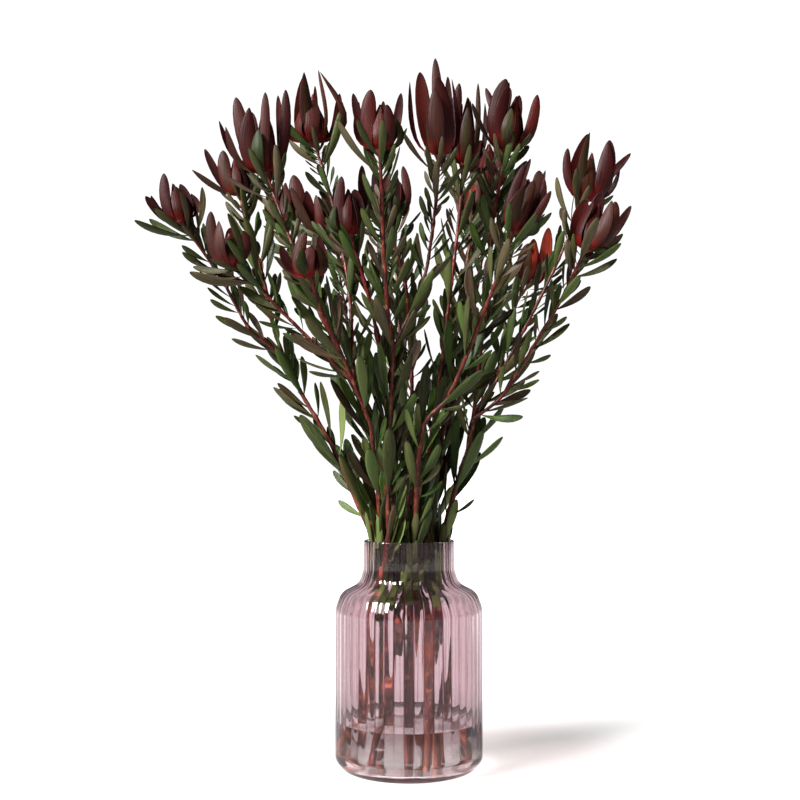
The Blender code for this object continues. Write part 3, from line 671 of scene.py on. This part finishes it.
def leafSolid(root, direction, sunk, turn, length, lean, roll, start=0.14, more=leaf["clearance"]):
    # The plain blade that a leaf needs free: its points and faces
    outward, across, root = leafFrame(root, direction, sunk, turn)
    sections = []
    for part, wide, twist in ((0.36, 0.84, 0.7), (0.76, 0.96, 1.0)):
        heading = leafHeading(direction, outward, lean, part)
        edge = turned(across, heading.cross(across), roll * twist)
        keel = heading.cross(edge) * (leaf["depth"] * (1 - 0.3 * part) + more)
        edge *= length * leaf["slimness"] * wide / 2 + more
        if not sections:
            footSize = leaf["foot"] + (1 - leaf["foot"]) * start / part
            foot = root + leafPath(direction, outward, lean, length, start)
            sections.append((foot, edge * footSize, keel * footSize))
        sections.append((root + leafPath(direction, outward, lean, length, part), edge, keel))
    points = [p for spot, edge, keel in sections for p in (spot - edge, spot + edge, spot + keel)]
    points.append(root + leafPath(direction, outward, lean, length + more, 1.0))
    faces = [(0, 2, 1)]
    for first in (0, 3):
        for a, b in ((0, 1), (1, 2), (2, 0)):
            faces += [(first + a, first + b, first + b + 3), (first + a, first + b + 3, first + a + 3)]
    return points, faces + [(6, 7, 9), (7, 8, 9), (8, 6, 9)]


class Obstacle:
    # A shape that leaves keep clear of
    def __init__(self, points, faces):
        self.low = [min(p[i] for p in points) for i in range(3)]
        self.high = [max(p[i] for p in points) for i in range(3)]
        self.tree = BVHTree.FromPolygons(points, faces)

    def meets(self, other):
        apart = any(self.low[i] > other.high[i] or self.high[i] < other.low[i] for i in range(3))
        return not apart and bool(self.tree.overlap(other.tree))


def nodeObstacle(name):
    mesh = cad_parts[name].data
    return Obstacle([v.co.copy() for v in mesh.vertices], [tuple(p.vertices) for p in mesh.polygons])


def leafTip(root, direction, sunk, turn, length, lean, roll):
    outward, _, root = leafFrame(root, direction, sunk, turn)
    return root + leafPath(direction, outward, lean, length, 1.0)


def leafLine(pose, tint, blush, slim):
    # The points of one leaf's midrib, with its half widths and facings
    root, direction, sunk, turn, length, lean, roll = pose
    outward, across, root = leafFrame(root, direction, sunk, turn)
    line = []
    for part, wide in leaf["outline"]:
        heading = leafHeading(direction, outward, lean, part)
        edge = turned(across, heading.cross(across), roll * min(1, 0.43 + 0.75 * part))
        facing = heading.cross(edge)
        spot = root + leafPath(direction, outward, lean, length, part) + facing * leaf["depth"] * 0.3
        line.append(dict(place=spot, facing=facing, halfWidth=length * leaf["slimness"] * slim * wide / 2,
                         along=part, tint=tint, blush=blush))
    return line


def spiral(lines, spacing, first, last, lowest):
    # For each leaf, its shoot and number, its root (place, direction, depth of its foot) and its size
    low, high = leaf["heights"]
    for order, line in enumerate(lines):
        total = lengthOf(line)
        walked, count = first, 0
        while walked < total - last:
            spot, direction = along(line, walked)
            rise = min(1, max(0, (spot.z - low) / (high - low)))
            if spot.z > lowest:
                length = between(leaf["lengths"], rise) * (leaf["shootShare"] if order else 1)
                radius = between(wood["ends"][min(order, 1)], walked / total)
                yield order, count, (spot, direction, radius * leaf["rootDepth"]), length, rise
            count += 1
            walked += between(spacing, rise)


def leafPoses(number, order, count, root, length, rise, leanBy=0):
    # The turns that a leaf may take, the best first
    key = number * 16 + order
    turn = count * leaf["golden"] + chance(key, 5) * tau
    length *= 0.86 + 0.28 * chance(key, count, 2)
    lean = radians(leaf["lean"] + leanBy + 4 * rise + 14 * chance(key, count, 3))
    upright = leaf["neckUpright"] if root[0].z < wood["rim"] + 0.01 else 1
    roll = radians(70 * (chance(key, count, 4) - 0.5))
    for leanMore, turnMore, rollMore, part in leaf["tries"]:
        yield (*root, turn + radians(turnMore), length * part,
               (lean + radians(leanMore)) * upright, roll + radians(rollMore))


def turnedToFront(pose):
    # The same leaf, rolled to the side that shows more of its face from the front
    root, direction, sunk, turn, length, lean, roll = pose
    outward, across, _ = leafFrame(root, direction, sunk, turn)
    heading = leafHeading(direction, outward, lean, 0.6)
    more = radians(leaf["faceRoll"])

    def shown(angle):
        return abs(heading.cross(turned(across, heading.cross(across), angle)).y)

    return (*pose[:-1], max((roll - more, roll, roll + more), key=shown))


def firstFree(poses, taken):
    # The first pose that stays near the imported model's box and meets nothing
    low, high = ([side + more for side in corner]
                 for corner, more in zip(cadBox, (-leaf["beyond"], leaf["beyond"])))
    for pose in poses:
        test = Obstacle(*leafSolid(*pose))
        inside = all(test.low[i] > low[i] and test.high[i] < high[i] for i in range(3))
        if inside and not any(test.meets(other) for other in taken):
            return pose


def settled(poses, fixed, placed):
    # The first free pose, whose room is then taken
    pose = firstFree(poses, fixed + placed)
    if pose:
        placed.append(Obstacle(*leafSolid(*pose, start=0.0, more=0)))
    return pose


def packedLeaves(number, mark, lines):
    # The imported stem's leaves, each in the turn whose tip is one of the stem's corners. A leaf comes with
    # its pose, a key of its own for its look, how high up it is, and its share of the width.
    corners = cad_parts["stem_" + mark].data.vertices
    nearby = KDTree(len(corners))
    for i, corner in enumerate(corners):
        nearby.insert(corner.co, i)
    nearby.balance()
    for order, count, root, length, rise in spiral(lines, leaf["spacing"], *leaf["limits"]):
        for pose in leafPoses(number, order, count, root, length, rise):
            if nearby.find(leafTip(*pose))[2] < leaf["match"]:
                yield pose, number * 977 + order * 61 + count, rise, 1 - leaf["topSlim"] * rise
                break


def leavesBetween(number, lines, fixed, placed):
    # More leaves wherever one has room. Those that would hide the stem from the front are left off.
    for again, (sizes, spacing, limits) in enumerate(leaf["betweenRounds"]):
        for order, count, root, length, rise in spiral(lines, spacing, *limits):
            size = between(sizes, chance(number, order, count, 8 + again))
            lean = between(leaf["betweenLean"], rise)
            lean += leaf["betweenRange"] * chance(number, order, count, 27)
            poses = leafPoses(number + 40 + 100 * again, order, count, root, length * size, rise, lean)
            pose = settled([turnedToFront(pose) for pose in poses if cos(pose[3]) < leaf["frontMost"]],
                           fixed, placed)
            if pose:
                yield pose, number * 977 + order * 61 + count + 31 + 499 * again, rise, leaf["betweenSlim"]


def collarLeaves(number, lines, fixed, placed):
    # The longer leaves that stand close round each head
    for order, line in enumerate(lines):
        total = lengthOf(line)
        for count in range(leaf["collar"]):
            spot, direction = along(line, total - leaf["collarFirst"] - count * leaf["collarStep"])
            root = (spot, direction, wood["ends"][1][1] * leaf["rootDepth"])
            length = between(leaf["collarLengths"], chance(number, order, count, 9))
            poses = leafPoses(number + 80, order, count, root, length, 1.0, leaf["collarLean"])
            pose = settled((turnedToFront(pose) for pose in poses), fixed, placed)
            if pose:
                yield pose, number * 877 + order * 67 + count + 17, 1.5, leaf["collarSlim"]


def neckLeaves(number, lines, fixed, placed):
    # Leaves pressed together in the vase's neck. They keep clear of the glass only.
    for order, count, root, _, rise in spiral(lines[:1], leaf["neckSpacing"], *leaf["neckLimits"]):
        length = between(leaf["neckLengths"], chance(number, count, 7))
        poses = leafPoses(number + 120, order, count, root, length, rise, leaf["neckLean"])
        pose = root[0].z < wood["rim"] and firstFree(poses, fixed[:1])
        if pose:
            yield pose, number * 577 + count * 3 + 11, rise, 1.0


def bladeSkin(name, constants, *scales):
    # The start of a blade's finish, with the values that it carries and fine veins along it
    material, inputs, _ = finish(name, constants)
    across, length, upper, tint, blush = map(reading, ("across", "along", "upper", "tint", "blush"))
    *stretch, scale = scales
    grain = {i: times(*pair) for i, pair in enumerate(zip((across, length, tint), (*stretch, 40.0)))}
    veins = noise(shade("CombineXYZ", grain), scale, 4.0)
    return material, inputs, calc("ABSOLUTE", across), length, upper, tint, blush, veins


def leafSkin():
    material, inputs, side, length, upper, tint, blush, veins = bladeSkin(
        "leafGreen", {"Specular IOR Level": 0.18}, 5.0, 3.0, 1.6)
    base = layered(
        leaf, "deep", (tint, "olive"), (tint, 0.60, 1.0, 0.85, "pale"), (blush, "mauve"),
        (blush, 0.65, 1.0, 0.75, "dusty"), (veins, 0.4, 0.75, 0.25, "pale"),
        (upper, 0.1, -0.4, 0.12, "pale"), (side, 0.16, 0.0, 0.35, "rib"), (side, 0.86, 1.0, 0.75, "rim"),
        (length, 0.94, 1.0, 0.8, "rim"))
    cover(inputs, leaf, base, veins, veins)
    return material


# Bracts: width is a share of the bulb's radius, and outlines are (share of the length, share of the width).
# fill is how far up and out the unmarked ones reach, (least, more, least, more), inner their share of the
# width, and glow the most of the fresh red that comes by chance. rings are the closing inner bracts: (count,
# share of the bulb's radius, share of the length, spread of the tips, share of the width, turn). core is the
# wood inside them: (share of the way up, share of the bulb's radius).
# paintedSheen is a lighter mauve painted on the outer faces of some bracts: a painted sheen, not their own
# colour.
bract = dict(
    count=6, width=1.14, thin=0.0085, fill=(0.70, 0.20, 0.12, 0.45), inner=0.82, swell=1.30, twist=0.8,
    face=1.0, bow=0.35, glow=0.10, ringGlow=0.16,
    outline=((0.02, 0.40), (0.08, 0.52), (0.16, 0.68), (0.26, 0.82), (0.38, 0.93), (0.50, 1.0), (0.62, 1.02),
             (0.74, 0.97), (0.84, 0.84), (0.92, 0.62), (0.97, 0.38), (1.0, 0.12)),
    leafy=((0.02, 0.40), (0.08, 0.50), (0.16, 0.64), (0.26, 0.78), (0.38, 0.91), (0.50, 1.0), (0.62, 0.98),
           (0.74, 0.85), (0.84, 0.64), (0.92, 0.40), (0.97, 0.21), (1.0, 0.06)),
    closing=((0.02, 0.40), (0.08, 0.56), (0.16, 0.80), (0.26, 0.98), (0.36, 1.04), (0.46, 1.0), (0.56, 0.90),
             (0.68, 0.72), (0.80, 0.50), (0.90, 0.30), (0.96, 0.16), (1.0, 0.06)),
    rings=((5, 0.94, 0.88, 0.02, 1.28, 0.6), (3, 0.62, 0.82, 0.02, 1.1, 0.2)),
    sides=12, thickness=0.045, cup=0.16, groove=0.03,
    core=((0.0, 0.42), (0.25, 0.66), (0.50, 0.44), (0.74, 0.06)),
    foot=(140, 18, 13), body=(58, 6, 5), fresh=(192, 70, 50), shade=(5, 2, 2), paintedSheen=(80, 36, 31),
    band=(46, 60, 24), roughness=(0.44, 0.66), relief=(0.5, 0.0006))


def bractSkin():
    material, inputs, side, length, upper, tint, blush, veins = bladeSkin(
        "bractRed", {"Specular IOR Level": 0.20, "Sheen Weight": 0.01, "Sheen Roughness": 0.45,
                     "Sheen Tint": (1.0, 0.86, 0.84, 1)}, 6.0, 2.0, 1.5)
    outer = share(upper, 0.25, -0.35)
    # Painted sheen: the outer faces of some bracts are painted a lighter mauve, standing in for their satin
    # shine
    paintedSheen = times(outer, share(tint, 0.45, 0.95, 0.0, 0.9))
    stripe = times(share(side, 1.0, 0.30), blush)
    whole = share(blush, 0.6, 1.0, 0.0, 0.85)
    green = times(calc("MAXIMUM", stripe, whole), outer)
    base = layered(
        bract, "body", (reading("glow"), "fresh"), (paintedSheen, "paintedSheen"),
        (length, 0.42, 0.05, 1.0, "foot"), (green, "band"), (veins, 0.42, 0.72, 0.75, "shade"),
        (side, 0.84, 1.0, 0.6, "shade"), (length, 0.90, 1.0, 0.6, "shade"))
    cover(inputs, bract, base, veins, veins)
    return material


def bezier(control, t):
    a, b, c, d = control
    u = 1 - t
    return a * u ** 3 + b * 3 * u * u * t + c * 3 * u * t * t + d * t ** 3


def bractLine(neck, axis, out, tip, width, bulb, look, swell=1.0, twist=0.0, bow=0.0, outline="outline"):
    # A bract swells out round the bulb and runs to its tip, with a twist and a bow to one side
    up = (tip - neck).dot(axis)
    off = (tip - neck) - axis * up
    aside = axis.cross(out) * bulb * bow
    control = (neck + out * bulb * 0.25, neck + axis * up * 0.05 + out * bulb * 1.25 * swell + aside,
               neck + axis * up * 0.60 + out * bulb * 0.45 * swell + off * 0.62 + aside, tip)
    line = []
    for t, wide in bract[outline]:
        heading = (bezier(control, min(1, t + 0.01)) - bezier(control, min(1, t + 0.01) - 0.02)).normalized()
        edge = heading.cross(out).normalized()
        edge = turned(edge, heading.cross(edge), twist * min(1, 0.3 + t))
        facing = heading.cross(edge)       # towards the head's axis
        line.append(dict(look, place=bezier(control, t) - facing * 0.0007, facing=facing,
                         halfWidth=width * wide / 2, along=t))
    return line


def faced(*given, **more):
    # A bract in the twist that shows most of its face from the front
    lines = [bractLine(*given, twist=twist, **more) for twist in (-bract["face"], 0, bract["face"])]
    return max(lines, key=lambda line: sum(abs(point["facing"].y) for point in line))


def headShape(mark, line):
    # Where a head stands: its foot, axis, length and bulb, and the places of its marked tips
    head = dict(plainHead, **heads[mark])
    heading = (line[-1] - line[-2]).normalized()
    foot = line[-1] + heading * wood["gap"]
    scale = farther(foot.y) * mm
    for label in ("tips", "thin"):
        head[label] = [foot + Vector((x, y, z)) * scale for x, z, y in head[label]]
    middle = sum(head["tips"], Vector()) / len(head["tips"]) - foot
    return dict(head, foot=foot, axis=middle.normalized(), length=middle.length, bulb=head["bulb"] * scale,
                neck=foot + heading * middle.length * 0.10, scale=scale)


def headLines(order, head):
    # The bracts of one head: the outer ones, the rings inside, the leafy ones
    foot, axis, length, bulb, neck = (head[key] for key in ("foot", "axis", "length", "bulb", "neck"))
    front, side = sideAxes(axis)
    count, slots = bract["count"], {}
    wide, swell = bulb * bract["width"], bract["swell"] * head["swell"]
    marked = [(tip, wide * part) for tip, part in zip(head["tips"], head["slim"])]
    for tip, width in marked + [(tip, bract["thin"]) for tip in head["thin"]]:
        turn = atan2((tip - foot).dot(side), (tip - foot).dot(front))
        free = [i for i in range(count) if i not in slots]
        slots[min(free, key=lambda i: 1 - cos(i * tau / count - turn))] = (tip, width)
    lines = []
    for i in range(count):
        out = turned(front, side, i * tau / count)
        look = dict(tint=chance(order, i, 11), blush=max(0.0, chance(order, i, 12) - 0.65),
                    glow=max(head["red"], bract["glow"] * chance(order, i, 41) ** 3))
        bow = bract["bow"] * (chance(order, i, 32) - 0.5)
        if i in slots:
            lines.append(faced(neck, axis, out, *slots[i], bulb, look, swell, bow=bow))
        else:
            reach, reachMore, spread, spreadMore = bract["fill"]
            tip = (foot + axis * length * (reach * head["low"] + reachMore * chance(order, i, 2))
                   + out * bulb * (spread + spreadMore * chance(order, i, 3)))
            twist = bract["twist"] * (chance(order, i, 31) - 0.5)
            lines.append(bractLine(neck, axis, out, tip, wide * bract["inner"], bulb, look, swell, twist,
                                   bow))
    for ring, (count, closeness, reach, spread, narrow, turn) in enumerate(bract["rings"]):
        for i in range(count):
            out = turned(front, side, (i + turn) * tau / count + chance(order, ring, 13))
            rise = reach * head["low"] + 0.06 * (chance(order, i, 14 + ring) - 0.5)
            tip = foot + axis * length * rise + out * bulb * spread
            look = dict(tint=0.3 * chance(order, i, 16 + ring), blush=0.0,
                        glow=max(head["red"], bract["ringGlow"]))
            lines.append(bractLine(neck, axis, out, tip, wide * narrow * head["bud"],
                                   bulb * closeness * head["bud"], look, outline="closing"))
    for i, (across, up, away, width, green, more) in enumerate(head["leafy"]):
        tip = foot + Vector((across, away, up)) * head["scale"]
        out = ((tip - foot) - axis * (tip - foot).dot(axis)).normalized()
        look = dict(tint=0.5 + 0.5 * chance(order, i, 33), blush=green, glow=head["red"] * 0.5)
        lines.append(faced(neck, axis, out, tip, width * head["scale"], bulb, look, more * bract["swell"],
                           outline="leafy"))
    return lines


def growBlades(name, lines, sizes, material):
    values = {label: sizes[label.lower()] for label in ("Sides", "Thickness", "Cup", "Groove")}
    return grow(name, chains(name + "Lines", lines), blades, {**values, "Finish": material})


blades, bars = bladeTree(), barkTree()
leafFinish, bractFinish, barkFinish = leafSkin(), bractSkin(), barkSkin()

order = 0
for mark, (_, shoots) in bunch.items():
    for (head, *_), line in zip(shoots, bunchLines[mark]):
        piece = growBlades("bracts" + head, headLines(order, headShape(head, line)), bract, bractFinish)
        place(piece, "bract", "head_" + head)
        order += 1
print("heads made:", order)

for mark, (_, shoots) in bunch.items():
    barkLines, ageing = [], chance(int(mark), 21)
    for order, (shoot, line) in enumerate(zip(shoots, bunchLines[mark])):
        fine, head = curved(line, wood["bend"]), headShape(shoot[0], line)
        total, walked, points = lengthOf(fine), 0.0, []
        for before, spot in zip(fine[:1] + fine, fine):
            walked += (spot - before).length
            above = min(1, max(0, spot.z - wood["rim"]) / wood["thinning"])
            size = between(wood["ends"][min(order, 1)], walked / total)
            points.append(dict(place=spot, size=size * between((1, wood["slender"]), above),
                               young=walked / total, tint=ageing))
        for reach, wide in bract["core"]:
            core = head["neck"].lerp(head["foot"] + head["axis"] * head["length"], reach)
            points.append(dict(place=core, size=head["bulb"] * wide, young=1.0, tint=0.0))
        barkLines.append(points)
    piece = grow("bark" + mark, chains("barkLines" + mark, barkLines), bars, {
        "Sides": wood["sides"], "Knot height": wood["knots"], "Step": wood["step"], "Finish": barkFinish})
    place(piece, "bark", "stem_" + mark)
print("bark made")

# The vase comes first, because the neck's leaves keep clear of it alone
solids = sorted((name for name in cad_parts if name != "water"), key=lambda name: name != "vase")
fixed, placed = [nodeObstacle(name) for name in solids], []
leaves = {mark: list(packedLeaves(number, mark, lines))
          for number, (mark, lines) in enumerate(bunchLines.items())}
packed = sum(len(found) for found in leaves.values())
for addition in (collarLeaves, leavesBetween, neckLeaves):
    for number, (mark, lines) in enumerate(bunchLines.items()):
        leaves[mark] += addition(number, lines, fixed, placed)
for mark, found in leaves.items():
    lines = []
    for pose, key, rise, slim in found:
        blush = max(0.0, chance(key, 3) * 1.8 - 0.80) + 0.65 * rise * chance(key, 4) ** 1.6
        lines.append(leafLine(pose, chance(key, 1) * (1 - 0.4 * min(1, rise)), min(1.0, blush), slim))
    place(growBlades("leaves" + mark, lines, leaf, leafFinish), "leaf", "stem_" + mark)
print("leaves made:", packed, "packed and", sum(len(found) for found in leaves.values()) - packed, "between")


# The stage: a pale floor that fades into the white, a bright room behind, a dimmer one in front, and one
# light from the left. The room is brighter for what is seen through the glass. The floor glows for the
# camera and through the glass, less near the vase and more beyond it: painted light that washes out the
# far shadows.
studio = dict(
    floor=(183, 182, 181), grain=0.99, floorReach=40, glow=(0.33, 0.95), paintedGlowReach=(0.15, 0.42),
    backdrop=1.06, room=(0.015, 0.20), seen=(0.80, 1.06), white=(1, 1, 1, 1),
    key=dict(place=(-1.95, -1.4, 1.8), spread=18, strength=7.6))


def stageFloor():
    material, inputs, spot = finish("paleFloor", {"Roughness": 0.9, "Specular IOR Level": 0.1})
    pale = studio["floor"]
    base = mixTones(noise(spot, 3.0, 2.0), tone(pale), tone(pale, studio["grain"]))
    far = shade("VectorMath", {0: spot}, "Value", operation="LENGTH")
    rays = node("ShaderNodeLightPath").outputs
    # Painted light: the floor glows for the camera and through the glass, less near the vase and more
    # beyond, so far shadows wash out
    seen = calc("MAXIMUM", rays["Is Camera Ray"], rays["Is Transmission Ray"])
    glow = times(seen, share(far, *studio["paintedGlowReach"], *studio["glow"]))
    feed(inputs, {"Base Color": base, "Emission Color": studio["white"], "Emission Strength": glow})
    mesh = bpy.data.meshes.new("stageFloor")
    reach = studio["floorReach"]
    mesh.from_pydata([(-reach, -reach, 0), (reach, -reach, 0), (reach, reach, 0), (-reach, reach, 0)], [],
                     [(0, 1, 2, 3)])
    mesh.materials.append(material)
    floor = linked("stageFloor", mesh)


def stageLight():
    world = bpy.data.worlds.new("studio")
    world.use_nodes = True
    drawing["tree"] = world.node_tree
    y = axes(shade("TexCoord", (), "Object"))[1]
    rays = node("ShaderNodeLightPath").outputs
    room = share(y, -0.7, 0.7, *studio["room"])
    seen = share(y, -0.4, 0.85, *studio["seen"])
    room = shade("Mix", {0: rays["Is Transmission Ray"], 2: room, 3: seen})
    room = shade("Mix", {0: rays["Is Camera Ray"], 2: room, 3: studio["backdrop"]})
    feed(world.node_tree.nodes["Background"].inputs, {0: studio["white"], 1: room})
    bpy.context.scene.world = world
    key = studio["key"]
    lamp = bpy.data.lights.new("softLight", "SUN")
    lamp.angle, lamp.energy = radians(key["spread"]), key["strength"]
    stand = linked("softLight", lamp)
    stand.location = key["place"]
    stand.rotation_euler = Vector(key["place"]).to_track_quat("Z", "Y").to_euler()
    bpy.context.scene.view_settings.view_transform = "Standard"


def stageCamera():
    camera = bpy.data.cameras.new("camera")
    camera.sensor_width = eye["sensor"]
    camera.lens = camera.sensor_width * eye["distance"] / (eye["frame"] * mm)
    camera.shift_x, camera.shift_y = eye["right"] / eye["frame"], eye["up"] / eye["frame"]
    stand = linked("camera", camera)
    stand.location = (0, -eye["distance"], eye["height"])
    stand.rotation_euler = (pi / 2, 0, 0)
    bpy.context.scene.camera = stand


stageFloor()
stageLight()
stageCamera()
print("stage set")
